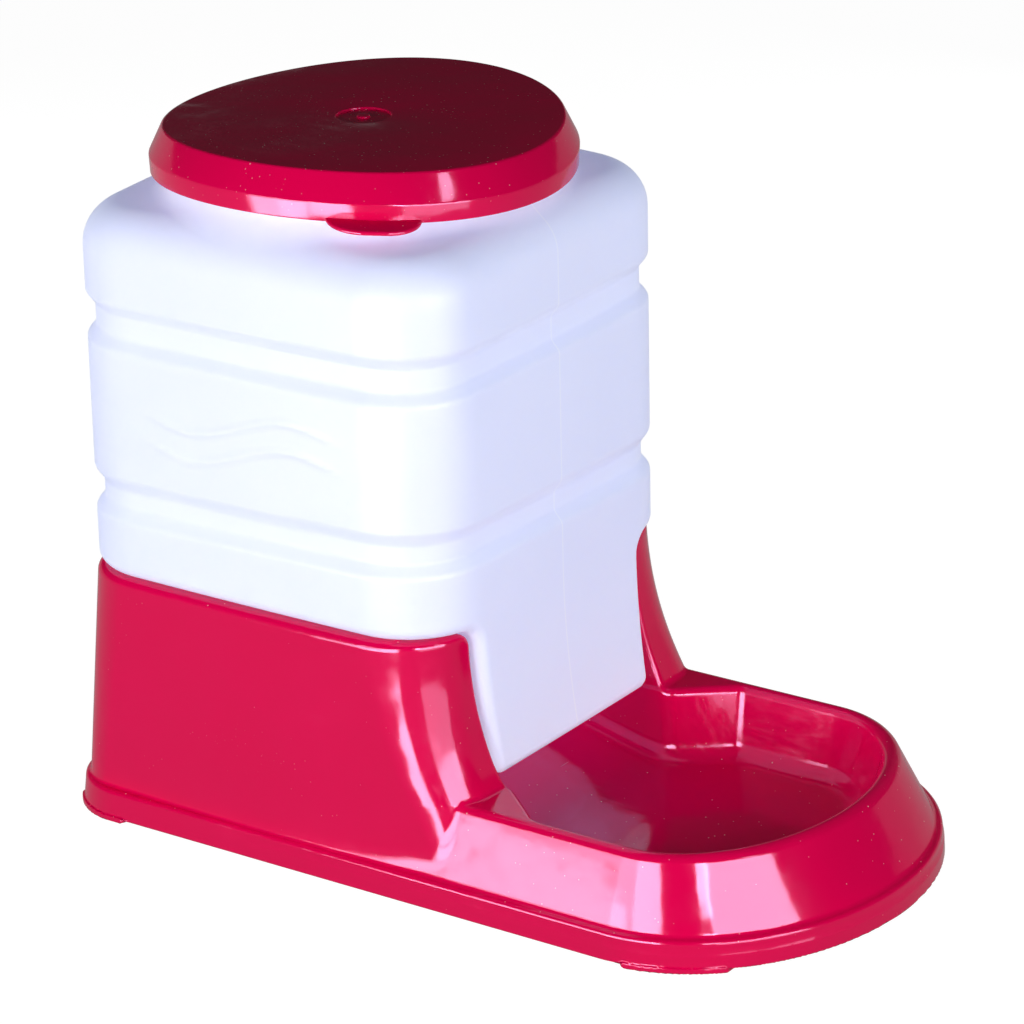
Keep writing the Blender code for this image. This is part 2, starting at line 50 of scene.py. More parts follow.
MILLIMETRE = 0.001
AXIS_Y = 65.3  # the middle of the tower, the hopper and the lid
BASE_WALL = 2.2
SKIRT_FOOT = 1.2  # the flange's lower edge, which the pads carry
FLANGE_TOP = 11.2
DECK = 35.2
TOWER_TOP = 90.2

TOWER_HALF, TOWER_DRAFT, TOWER_BOW = 80.8, 2.5, 2.6
TOWER_CORNER, CORNER_GAIN = 15.5, 8.0  # the corners' radius at the flange, and what it gains by the top
LEG_FRONT, LEG_SWEEP, LEG_POWER, LEG_FOOT_SLOPE = -10.6, 12.5, 2.3, 0.4
LEG_GAP, LEG_JAMB, LEG_SPREAD = 47.8, 51.4, 2.0  # half the opening, half with the jambs, and what both gain by the top
SEAT_INSET, SEAT_DEPTH = 7.0, 10.0  # of the hole in the tower's top that the hopper hangs in

BOWL_CENTRE = -82.8  # where the straight sides end and the half ellipse starts
BOWL_HALF, BOWL_HALF_DRAFT = 80.8, 10.6
BOWL_LENGTH, BOWL_LENGTH_DRAFT = 63.3, 14.3
FLANGE_HALF, FLANGE_LENGTH, FLANGE_BACK, FLANGE_CORNER, FLANGE_DRAFT = 84.0, 66.5, 149.3, 27.0, 0.08

BASIN_FLOOR = 10.2
BASIN_HALF, BASIN_HALF_DRAFT = 65.4, 6.6
BASIN_LENGTH, BASIN_LENGTH_DRAFT = 44.2, 8.6
CHANNEL_HALF, CHANNEL_DRAFT = 48.2, 2.6
LEDGE_POINT, LEDGE_RUN = -24.3, 20.5  # where the basin's slanting back edges meet the channel, and their length in Y
RAMP_START, RAMP_SLOPE, RAMP_EASE = -19.7, 0.2315, 36.0

PAD_TOP, PAD_WIDTH = 2.2, 6.5
FRONT_PAD_MIDDLE, FRONT_PAD_HALF = -106.3, 16.0
BACK_PAD_START, BACK_PAD_SIDE = 117.3, 72.0

BASE_TRIANGLES = 170000
CRIMSON, CRIMSON_DEEP, CRIMSON_SCORED, FEED_DUST = "#DC004D", "#D60046", "#F0B4C8", "#F8DCD4"


def round_max(a, b, radius):
    """What both fields hold, with the edge between them rounded: the larger one, but a circle near the edge."""
    corner = np.hypot(np.maximum(a + radius, 0), np.maximum(b + radius, 0))
    return np.minimum(np.maximum(a, b), -radius) + corner


def round_min(a, b, radius):
    """What either field holds, with a fillet of the radius where they meet."""
    return -round_max(-a, -b, radius)


def oval(x, y, half, length):
    """Distance to an ellipse in plan, near enough: how far its implicit value is from 1, over that value's slope."""
    reach = np.maximum(np.hypot(x / half, y / length), 1e-3)
    slope = np.hypot(x / half**2, y / length**2) / reach
    return (reach - 1) / np.maximum(slope, 1e-4)


def leg_front(z):
    """The tower's front in Y: upright at the top, running forward with a power of the drop to the deck, and on down to
    the flange at an even slope."""
    drop = np.clip((TOWER_TOP - z) / (TOWER_TOP - DECK), 0, 1)
    return LEG_FRONT - LEG_SWEEP * drop**LEG_POWER - LEG_FOOT_SLOPE * np.clip(DECK - z, 0, 30)


def leg_spread(z):
    """How much wider the opening between the legs is at height z than at the deck, on each side."""
    return LEG_SPREAD * (z - DECK) / (TOWER_TOP - DECK)


def tower_walls(x, y, z, inset):
    """Field of the tower's four bowed and drafted walls with round corners, moved in by inset."""
    rise = np.clip((z - FLANGE_TOP) / (TOWER_TOP - FLANGE_TOP), -0.2, 1.1)
    half = TOWER_HALF - TOWER_DRAFT * rise
    side = np.abs(x) - half + inset + TOWER_BOW * ((y - AXIS_Y) / half) ** 2
    sag = TOWER_BOW * (x / half) ** 2
    back = y - AXIS_Y - half + inset + sag
    front = leg_front(z) + inset + sag - y
    return round_max(side, np.maximum(back, front), TOWER_CORNER + CORNER_GAIN * rise - inset)


def leg_cut(x, y, z):
    """Field of the opening between the tower's front legs, whose tops are rounded to a 7 mm radius."""
    legs = round_max(z - TOWER_TOP, LEG_GAP + leg_spread(z) - np.abs(x), 7.0)
    return np.maximum(np.maximum(-legs, y - 5.0), DECK - z)


def bowl_slope(x, y, z):
    """Field of the bowl's sloping outside: straight sides and a half ellipse in front, both drawn in with height."""
    rise = np.clip((z - FLANGE_TOP) / (DECK - FLANGE_TOP), -0.2, 1.2)
    half, length = BOWL_HALF - BOWL_HALF_DRAFT * rise, BOWL_LENGTH - BOWL_LENGTH_DRAFT * rise
    return oval(x, np.minimum(y - BOWL_CENTRE, 0), half, length) * 0.9


def footprint(x, y, inset):
    """Field of the flange in plan: round corners at the back and a half ellipse in front."""
    body = oval(x, np.minimum(y - BOWL_CENTRE, 0), FLANGE_HALF - inset, FLANGE_LENGTH - inset)
    return round_max(body, y - FLANGE_BACK + inset, FLANGE_CORNER)


def basin_hollow(x, y, z):
    """Field of the hollow in the bowl and of the channel behind it, whose floor rises evenly to the deck."""
    sink = np.clip((DECK - z) / (DECK - BASIN_FLOOR), -0.3, 1.2)
    half, length = BASIN_HALF - BASIN_HALF_DRAFT * sink, BASIN_LENGTH - BASIN_LENGTH_DRAFT * sink
    channel = CHANNEL_HALF - CHANNEL_DRAFT * sink
    bowl = oval(x, np.minimum(y - BOWL_CENTRE, 0), half, length)
    point, width = LEDGE_POINT - CHANNEL_DRAFT * sink, half - channel
    ledge = ((np.abs(x) - channel) * LEDGE_RUN + (y - point) * width) / np.hypot(width, LEDGE_RUN)
    strip = np.maximum(np.abs(x) - channel, np.abs(y - 20) - 80)
    plan = round_min(round_max(bowl, ledge, 1.2), strip, 2.0)
    back = y - RAMP_START
    floor = BASIN_FLOOR + RAMP_SLOPE * 0.5 * (back + np.sqrt(back * back + RAMP_EASE)) - z
    return round_max(plan, floor, 6.0)


def tower_shell(x, y, z):
    """Field of the tower: its walls less the room inside, the seat in its top and the opening between its legs."""
    room = round_max(tower_walls(x, y, z, BASE_WALL), DECK - z, 1.5)
    room = np.maximum(room, z - TOWER_TOP + BASE_WALL)
    jamb = np.maximum(np.abs(x) - LEG_JAMB - leg_spread(z), y + 1.0)
    room = round_max(room, -jamb, 1.0)
    seat = np.maximum(tower_walls(x, y, z, SEAT_INSET), TOWER_TOP - SEAT_DEPTH - z)
    tower = round_max(tower_walls(x, y, z, 0.0), z - TOWER_TOP, 3.0)
    tower = round_max(tower, -np.minimum(room, seat), 0.8)
    return round_max(tower, -leg_cut(x, y, z), 1.6)


def foot_pads(x, y, z):
    """Field of the four pads under the flange's edge: two beside the bowl and two under the back corners."""
    ring = np.maximum(footprint(x, y, -0.5), -footprint(x, y, PAD_WIDTH))
    front = np.abs(y - FRONT_PAD_MIDDLE) - FRONT_PAD_HALF
    back = np.maximum(BACK_PAD_START - y, BACK_PAD_SIDE - np.abs(x))
    pads = np.maximum(ring, np.minimum(front, back))
    return round_max(pads, np.maximum(-z, z - PAD_TOP), 0.3)


def base_field(x, y, z):
    """Field of the base: the outer 2.2 mm of the outside less its hollows, and the pads."""
    bowl = round_max(round_max(bowl_slope(x, y, z), z - DECK, 2.2), y - AXIS_Y, 1.0)
    flange = round_max(footprint(x, y, FLANGE_DRAFT * (z - SKIRT_FOOT)), z - FLANGE_TOP, 1.4)
    outside = round_min(round_min(tower_shell(x, y, z), bowl, 1.5), flange, 1.2)
    solid = round_max(outside, -basin_hollow(x, y, z), 2.4)
    skin = round_max(solid, -(solid + BASE_WALL), 0.5)
    skin = round_max(skin, SKIRT_FOOT - z, 0.5)
    return np.minimum(skin, foot_pads(x, y, z))


def graded(start, *spans):
    """Grid lines from start through (end, step) spans, each span in even steps of about its own step."""
    lines = [np.array([float(start)])]
    for end, step in spans:
        count = max(1, int(round((end - start) / step)))
        lines.append(np.linspace(start, end, count + 1)[1:])
        start = end
    return np.concatenate(lines)


def slope_of(field, points, reach=0.02):
    """The field's value and slope at points, the slope from central differences over twice the reach."""
    value = field(points[:, 0], points[:, 1], points[:, 2])
    slope = np.empty_like(points)
    for axis in range(3):
        step = np.zeros(3)
        step[axis] = reach
        ahead, behind = points + step, points - step
        slope[:, axis] = field(*ahead.T) - field(*behind.T)
    return value, slope / (2 * reach)


def normals_of(field, points):
    """The field's unit slope at points on its surface, which is the surface's outward normal."""
    slope = slope_of(field, points)[1]
    return slope / np.maximum(np.linalg.norm(slope, axis=1, keepdims=True), 1e-6)


def settle(field, points, rounds=4, most=0.6):
    """Moves points onto the field's zero surface along its slope, by Newton steps of at most the given length."""
    for _ in range(rounds):
        value, slope = slope_of(field, points)
        move = value[:, None] * slope / np.maximum((slope**2).sum(1), 0.05)[:, None]
        length = np.linalg.norm(move, axis=1, keepdims=True)
        points = points - move * np.minimum(1, most / np.maximum(length, 1e-9))
    return points


def evened(field, points, quads):
    """The points moved halfway to the mean of their neighbours, along the surface only."""
    mean, ring = np.zeros_like(points), np.zeros(len(points))
    for k in range(4):
        for other in (1, 3):
            np.add.at(mean, quads[:, k], points[quads[:, (k + other) % 4]])
            np.add.at(ring, quads[:, k], 1)
    drift = mean / np.maximum(ring, 1)[:, None] - points
    normals = normals_of(field, points)
    drift -= (drift * normals).sum(1, keepdims=True) * normals
    return settle(field, points + 0.5 * drift, 2)


def window(axis, along, u=slice(None), v=slice(None)):
    """An index into a grid: one slice for the axis and one each for the other two, in order."""
    rest = iter((u, v))
    return tuple(along if k == axis else next(rest) for k in range(3))


def cell_points(value, lines):
    """One point for each grid cell that the zero surface crosses, the mean of where it crosses the cell's edges, and
    a grid of the cells' point numbers."""
    cells = tuple(n - 1 for n in value.shape)
    total, count = np.zeros(cells + (3,)), np.zeros(cells)
    for axis in range(3):
        a, b = value[window(axis, slice(0, -1))], value[window(axis, slice(1, None))]
        cross = (a < 0) != (b < 0)
        share = np.where(cross, a / np.where(cross, a - b, 1), 0)
        place = list(np.meshgrid(*[line[:-1] if k == axis else line for k, line in enumerate(lines)], indexing="ij"))
        widths = np.diff(lines[axis]).reshape([-1 if k == axis else 1 for k in range(3)])
        place[axis] = place[axis] + share * widths
        u, v = [k for k in range(3) if k != axis]
        for first in (0, 1):
            for second in (0, 1):
                part = window(axis, slice(None), slice(first, first + cells[u]), slice(second, second + cells[v]))
                hit = cross[part]
                count += hit
                for k in range(3):
                    total[..., k] += np.where(hit, place[k][part], 0)
    used = count > 0
    index = np.full(cells, -1)
    index[used] = np.arange(used.sum())
    return total[used] / count[used][:, None], index


def cell_quads(inside, index):
    """One quad for each grid edge that the zero surface crosses, between the points of the four cells round the edge,
    turned so that it faces out."""
    quads = []
    for axis in range(3):
        u, v = [k for k in range(3) if k != axis]
        within = slice(1, index.shape[u]), slice(1, index.shape[v])
        a, b = inside[window(axis, slice(0, -1), *within)], inside[window(axis, slice(1, None), *within)]
        where = np.argwhere(a != b)
        corners = []
        for du, dv in ((0, 0), (1, 0), (1, 1), (0, 1)):
            at = where.copy()
            at[:, u] += du
            at[:, v] += dv
            corners.append(index[tuple(at.T)])
        quad = np.stack(corners, 1)
        leaves = a[tuple(where.T)]
        turned = leaves if axis == 1 else ~leaves
        quad[turned] = quad[turned][:, ::-1]
        quads.append(quad)
    return np.concatenate(quads)


def skin_of(field, xs, ys, zs):
    """The field's zero surface as points and quads: drawn on the grid, settled on the field and evened out twice."""
    value = field(*np.meshgrid(xs, ys, zs, indexing="ij"))
    points, index = cell_points(value, (xs, ys, zs))
    quads = cell_quads(value < 0, index)
    points = settle(field, points)
    for _ in range(2):
        points = evened(field, points, quads)
    return points, quads


def thinned(field, points, quads, most):
    """The same surface with about the given number of triangles: Decimate merges points where the surface is flattest,
    and the points then settle on the field again."""
    mesh = bpy.data.meshes.new("full_skin")
    mesh.from_pydata(points.tolist(), [], quads.tolist())
    full = bpy.data.objects.new("full_skin", mesh)
    bpy.context.scene.collection.objects.link(full)
    change = full.modifiers.new("thin", "DECIMATE")
    change.ratio = min(1.0, most / (2 * len(quads)))
    thin = full.evaluated_get(bpy.context.evaluated_depsgraph_get()).to_mesh()
    kept = np.empty(3 * len(thin.vertices), np.float32)
    thin.vertices.foreach_get("co", kept)
    thin.calc_loop_triangles()
    corners = np.empty(3 * len(thin.loop_triangles), np.int32)
    thin.loop_triangles.foreach_get("vertices", corners)
    full.to_mesh_clear()
    bpy.data.objects.remove(full, do_unlink=True)
    return settle(field, kept.reshape(-1, 3).astype(float), 2, 0.2), corners.reshape(-1, 3)


def make_piece(name, points, faces, normals=None, sharp=None):
    """A smooth mesh object from points in millimetres and faces, with the given normal at each point, or else with
    edges sharp where they turn by more than the given angle in degrees."""
    mesh = bpy.data.meshes.new(name)
    mesh.from_pydata((points * MILLIMETRE).tolist(), [], faces.tolist() if hasattr(faces, "tolist") else faces)
    mesh.update()
    mesh.polygons.foreach_set("use_smooth", [True] * len(mesh.polygons))
    if sharp is not None:
        mesh.set_sharp_from_angle(angle=math.radians(sharp))
    if normals is not None:
        mesh.normals_split_custom_set_from_vertices(normals.tolist())
    piece = bpy.data.objects.new(name, mesh)
    bpy.context.scene.collection.objects.link(piece)
    return piece


def linear(colour):
    """An sRGB hex colour as linear red, green, blue and 1."""
    parts = [int(colour[k : k + 2], 16) / 255 for k in (1, 3, 5)]
    return tuple(p / 12.92 if p <= 0.04045 else ((p + 0.055) / 1.055) ** 2.4 for p in parts) + (1.0,)


def new_material(name):
    """An empty node material, its tree and its output node."""
    material = bpy.data.materials.new(name)
    material.use_nodes = True
    material.node_tree.nodes.clear()
    return material, material.node_tree, material.node_tree.nodes.new("ShaderNodeOutputMaterial")


def add_node(tree, kind, settings=None, **inputs):
    """Adds a node with its settings. An input is a value, or another node's output to link. Its name has _ for a
    space, or is i and the input's number."""
    node = tree.nodes.new(kind)
    for key, value in (settings or {}).items():
        setattr(node, key, value)
    for key, value in inputs.items():
        numbered = key[0] == "i" and key[1:].isdigit()
        socket = node.inputs[int(key[1:]) if numbered else key.replace("_", " ")]
        if isinstance(value, bpy.types.NodeSocket):
            tree.links.new(value, socket)
        else:
            socket.default_value = value
    return node


def specks(tree, place, scale, size, share):
    """Round specks of a radius in cells: one at most in each cell of a Voronoi pattern, and only in the share of cells
    whose random number is lowest."""
    cells = add_node(tree, "ShaderNodeTexVoronoi", Vector=place, Scale=scale)
    dot = add_node(
        tree,
        "ShaderNodeMapRange",
        Value=cells.outputs["Distance"],
        From_Min=size * 0.6,
        From_Max=size,
        To_Min=1.0,
        To_Max=0.0,
    )
    draw = add_node(tree, "ShaderNodeSeparateColor", Color=cells.outputs["Color"])
    kept = add_node(tree, "ShaderNodeMath", {"operation": "LESS_THAN"}, i0=draw.outputs[0], i1=share)
    both = add_node(tree, "ShaderNodeMath", {"operation": "MULTIPLY"}, i0=dot.outputs[0], i1=kept.outputs[0])
    return both.outputs[0]


def hairlines(tree, place, turn, size, share):
    """Straight hairline scratches in one direction: specks in cells drawn out to 55 by 3.3 by 3.3 mm and turned. Real
    ones are finer, and these are as wide as they need to be to show."""
    drawn = add_node(tree, "ShaderNodeMapping", Vector=place, Rotation=turn, Scale=(18.0, 300.0, 300.0))
    return specks(tree, drawn.outputs[0], 1.0, size, share)


def crimson_polypropylene(name, dustiness):
    """Injection-moulded polypropylene, glossy from a polished mould: even colour, a faint waviness 6 to 22 mm across
    where the skin sank as it cooled, hairline scratches, streaks that wiping rubbed dull, and specks of feed dust in
    the given share of places, most of all on what faces up. The pigment tints its gloss a little pink."""
    material, tree, output = new_material(name)
    rgba, multiply = {"data_type": "RGBA"}, {"operation": "MULTIPLY"}
    place = add_node(tree, "ShaderNodeTexCoord").outputs["Object"]
    cloud = add_node(tree, "ShaderNodeTexNoise", Vector=place, Scale=22.0, Detail=2.0, Roughness=0.5)  # 45 mm
    patches = cloud.outputs["Fac"]
    tone = add_node(tree, "ShaderNodeMix", rgba, i0=patches, i6=linear(CRIMSON_DEEP), i7=linear(CRIMSON))

    along = hairlines(tree, place, (0.4, 0.9, 1.2), 0.05, 0.09)  # 5.5 by 0.3 mm
    athwart = hairlines(tree, place, (2.1, 0.3, 0.5), 0.06, 0.06)  # 6.5 by 0.4 mm
    scratch = add_node(tree, "ShaderNodeMath", {"operation": "MAXIMUM"}, i0=along, i1=athwart)
    scored = add_node(tree, "ShaderNodeMath", multiply, i0=scratch.outputs[0], i1=0.3)
    tone = add_node(
        tree, "ShaderNodeMix", rgba, i0=scored.outputs[0], i6=tone.outputs[2], i7=linear(CRIMSON_SCORED)
    )

    dust = specks(tree, place, 450.0, 0.13, dustiness)  # cells 2.2 mm, specks 0.6 mm: coarser than dust, so they show
    skin = add_node(tree, "ShaderNodeNewGeometry").outputs["Normal"]
    facing = add_node(tree, "ShaderNodeSeparateXYZ", Vector=skin).outputs["Z"]
    upward = add_node(
        tree, "ShaderNodeMapRange", Value=facing, From_Min=0.2, From_Max=0.7, To_Min=0.15, To_Max=0.8
    )
    drift = add_node(
        tree, "ShaderNodeMapRange", Value=patches, From_Min=0.4, From_Max=0.6, To_Min=0.25, To_Max=1.0
    )
    settled = add_node(tree, "ShaderNodeMath", multiply, i0=upward.outputs[0], i1=drift.outputs[0])
    dusty = add_node(tree, "ShaderNodeMath", multiply, i0=dust, i1=settled.outputs[0])
    tone = add_node(tree, "ShaderNodeMix", rgba, i0=dusty.outputs[0], i6=tone.outputs[2], i7=linear(FEED_DUST))

    rub = add_node(tree, "ShaderNodeTexNoise", Vector=place, Scale=160.0, Detail=6.0, Roughness=0.65)  # 6 mm
    gloss = add_node(
        tree, "ShaderNodeMapRange", Value=rub.outputs["Fac"], From_Min=0.3, From_Max=0.75, To_Min=0.06, To_Max=0.14
    )
    drawn = add_node(  # 1.4 by 22 by 8 mm
        tree, "ShaderNodeMapping", Vector=place, Rotation=(0.0, 0.0, 0.6), Scale=(700.0, 45.0, 120.0)
    )
    streak = add_node(tree, "ShaderNodeTexNoise", Vector=drawn.outputs[0], Scale=1.0, Detail=4.0, Roughness=0.7)
    wiped = add_node(
        tree, "ShaderNodeMapRange", Value=streak.outputs["Fac"], From_Min=0.45, From_Max=0.7, To_Min=0.0, To_Max=0.18
    )
    where = add_node(tree, "ShaderNodeMapRange", Value=patches, From_Min=0.5, From_Max=0.64)
    worn = {"i0": wiped.outputs[0], "i1": where.outputs[0], "i2": gloss.outputs[0]}
    dull = add_node(tree, "ShaderNodeMath", {"operation": "MULTIPLY_ADD"}, **worn)
    dull = add_node(tree, "ShaderNodeMath", {"operation": "ADD"}, i0=dull.outputs[0], i1=scored.outputs[0])

    sink = add_node(tree, "ShaderNodeTexNoise", Vector=place, Scale=45.0, Detail=2.5, Roughness=0.3)  # 22 to 6 mm
    bump = add_node(tree, "ShaderNodeBump", Strength=1.0, Distance=0.0006, Height=sink.outputs["Fac"])
    shader = add_node(
        tree,
        "ShaderNodeBsdfPrincipled",
        Base_Color=tone.outputs[2],
        Roughness=dull.outputs[0],
        Normal=bump.outputs["Normal"],
        IOR=1.49,
        Specular_IOR_Level=0.5,
        Specular_Tint=(1.0, 0.62, 1.0, 1.0),
    )
    tree.links.new(shader.outputs[0], output.inputs[0])
    return material


base_points, base_faces = thinned(
    base_field,
    *skin_of(
        base_field,
        graded(-86, (-82, 0.8), (-44, 1.0), (-22, 1.4), (22, 2.6), (44, 1.4), (82, 1.0), (86, 0.8)),
        graded(-152, (-96, 1.0), (-50, 2.0), (6, 1.0), (122, 2.8), (151.5, 1.0)),
        graded(-0.9, (3, 0.6), (8, 1.0), (14, 0.7), (30, 1.0), (37, 0.7), (48, 1.0), (60, 1.6), (84, 2.8), (91.5, 0.7)),
    ),
    BASE_TRIANGLES,
)
base = make_piece("feeder_base", base_points, base_faces, normals_of(base_field, base_points))
base.data.materials.append(crimson_polypropylene("crimson_polypropylene_moulded", 0.16))
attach(base, "base")
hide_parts("base")

# ---------------------------------------------------------------- hopper
# The hopper is one blow moulding in natural high-density polyethylene, milky and faintly blue, 1.6 mm thick: a square
# tank with two waist grooves, a round mouth on top and an open nose below. It hangs by its shoulder on the tower's rim.

HOPPER_WALL = 1.6
OUTLET = 36.8
OUTLET_EDGE = OUTLET + 0.25  # where the open foot is cut level, on the curve of its rounding
SEAT = 90.5
MOUTH_TOP = 240.87

TANK_HALF, TANK_DEPTH, TANK_CORNER = 77.1, 78.97, 28.0
TANK_BOW, BOW_REACH_X, BOW_REACH_Y = 1.25, 77, 79
LEAN_TOP, LEAN = 99.5, 5.5  # the front leans out below this height, by this much at the outlet
CROWN, CROWN_FALL, CROWN_TILT, CROWN_ROUNDING = 222.9, 0.06, 0.01, 14.0
MOUTH_RADIUS = 66.0

# Each groove's lower edge, flat bottom's two edges and upper edge in Z, then how far it rises over TILT_REACH across
# and falls over DIP_REACH along the hopper.
WAIST_GROOVES = (
    (111.7, 117.2, 122.4, 128.7, -1.0, 2.4),
    (173.8, 178.8, 185.8, 191.6, 0.8, 0.3),
)
GROOVE_DEPTH, TILT_REACH, DIP_REACH = 3.3, 77, 130
RIB_START, RIB_LENGTH, RIB_MIDDLE, RIB_SWING = 20.0, 88.0, 151.0, 5.5
RIB_OFFSET, RIB_WIDTH, RIB_HEIGHT = 5.0, 1.5, 0.6

NECK_HALF, NECK_FRONT, NECK_BACK = 66.9, 0.8, 132.2
SPOUT_HALF, SPOUT_BACK = 46.2, 48.3
FUNNEL_FOOT, FUNNEL_TOP = 41.8, 60.0
NOSE_HALF, NOSE_SPREAD, NOSE_BACK = 47.2, 1.9, 25.8
MILK_DEEP, MILK, MILK_SCORED, GRIT = "#D0D3E6", "#D9DBEC", "#FBFCFF", "#8E93A8"


def smooth_step(t):
    """0 below 0, 1 above 1, and 3t^2 - 2t^3 between."""
    t = np.clip(t, 0, 1)
    return t * t * (3 - 2 * t)


def hopper_groove(x, y, z):
    """How far the two waist grooves draw the wall in: smooth flanks to a flat bottom. Each groove runs a little out of
    level across and along the hopper."""
    depth = 0.0
    for low, flat_low, flat_high, high, tilt, dip in WAIST_GROOVES:
        at = z - tilt * x / TILT_REACH + dip * y / DIP_REACH
        flanks = smooth_step((at - low) / (flat_low - low)) * smooth_step((high - at) / (high - flat_high))
        depth = depth + GROOVE_DEPTH * flanks
    return depth


def side_relief(x, y, z):
    """Two plain wavy ribs on the left side: parallel sine lines, each a soft ridge that fades at its ends."""
    along = (y - RIB_START) / RIB_LENGTH
    fade = smooth_step(along * 5) * smooth_step((1 - along) * 5)
    wave = RIB_MIDDLE - RIB_SWING * np.sin(2 * np.pi * (1 - along))
    lift = 0.0
    for shift in (RIB_OFFSET, -RIB_OFFSET):
        lift = lift + np.exp(-(((z - wave - shift) / RIB_WIDTH) ** 2))
    return np.where(x < -60, RIB_HEIGHT * fade * lift, 0.0)


def hopper_sides(x, y, z):
    """Field of the tank's bowed sides with round corners, drawn in by the grooves; the front leans out low down."""
    groove = hopper_groove(x, y, z)
    drop = np.clip((LEAN_TOP - z) / (LEAN_TOP - OUTLET), 0, 1.1)
    half, depth = TANK_HALF - groove, TANK_DEPTH - groove
    across = np.abs(x) - half + TANK_BOW * ((y - AXIS_Y) / BOW_REACH_Y) ** 2 - side_relief(x, y, z)
    sag = TANK_BOW * (x / BOW_REACH_X) ** 2
    back = y - AXIS_Y - depth + sag
    front = AXIS_Y - y - depth + sag - LEAN * drop**2
    return round_max(across, np.maximum(back, front), TANK_CORNER - groove)


def funnel_side(reach, z, low, high):
    """Field of one sloping side of the funnel, from low at the funnel's foot out to high at its top."""
    rise, run = FUNNEL_TOP - FUNNEL_FOOT, high - low
    return ((reach - low) * rise - (z - FUNNEL_FOOT) * run) / math.hypot(rise, run)


def hopper_neck(x, y, z):
    """Field of what hangs inside the tower: a square neck whose floor and sides slope in to the outlet."""
    box = round_max(np.abs(x) - NECK_HALF, np.maximum(NECK_FRONT - y, y - NECK_BACK), 16.0)
    floor = funnel_side(y, z, SPOUT_BACK, NECK_BACK)
    cheek = funnel_side(np.abs(x), z, SPOUT_HALF, NECK_HALF)
    box = round_max(box, np.maximum(floor, cheek), 5.0)
    spout = round_max(np.abs(x) - SPOUT_HALF, np.maximum(NECK_FRONT - y, y - SPOUT_BACK), 6.0)
    return round_min(box, spout, 4.0)


def hopper_field(x, y, z):
    """Field of the hopper's outer form: sides under a rounded shoulder, on a rounded foot that the neck hangs from, the
    nose that fills the gap between the tower's legs and widens upwards with it, and a filleted round mouth on top."""
    spread = NOSE_SPREAD * (z - OUTLET) / (SEAT - OUTLET)
    nose = np.maximum(np.abs(x) - NOSE_HALF - spread, y - NOSE_BACK)
    keep = round_min(round_min(SEAT - z, hopper_neck(x, y, z), 2.0), nose, 6.0)
    body = round_max(hopper_sides(x, y, z), keep, 4.5)
    body = round_max(body, OUTLET - z, 4.0)
    reach = np.hypot(x, y - AXIS_Y)
    crown = CROWN - CROWN_FALL * np.clip(reach - MOUTH_RADIUS, 0, 40) + CROWN_TILT * (x - y + AXIS_Y)
    body = round_max(body, z - crown, CROWN_ROUNDING)
    mouth = np.maximum(reach - MOUTH_RADIUS, 200 - z)
    return round_min(body, mouth, 7.5)


def shell(field, points, quads, wall, low, high):
    """A wall of the given thickness inside a skin that is open at its lowest and highest level. The skin's free edges
    are brought level, each point is copied inwards along its normal, and strips close the rims."""
    edges = np.concatenate([quads[:, [k, (k + 1) % 4]] for k in range(4)])
    keys = np.sort(edges, 1)
    order = keys[:, 0].astype(np.int64) * len(points) + keys[:, 1]
    _, first, seen = np.unique(order, return_index=True, return_counts=True)
    rim = edges[first[seen == 1]]
    free = np.unique(rim)
    level = np.where(points[free, 2] < (low + high) / 2, low, high)
    points[free, 2] = level
    normals = normals_of(field, points)
    inner = points - wall * normals
    inner[free, 2] = level
    count = len(points)
    strips = np.stack([rim[:, 1], rim[:, 0], rim[:, 0] + count, rim[:, 1] + count], 1)
    faces = np.concatenate([quads, quads[:, ::-1] + count, strips])
    return np.concatenate([points, inner]), faces, np.concatenate([normals, -normals])


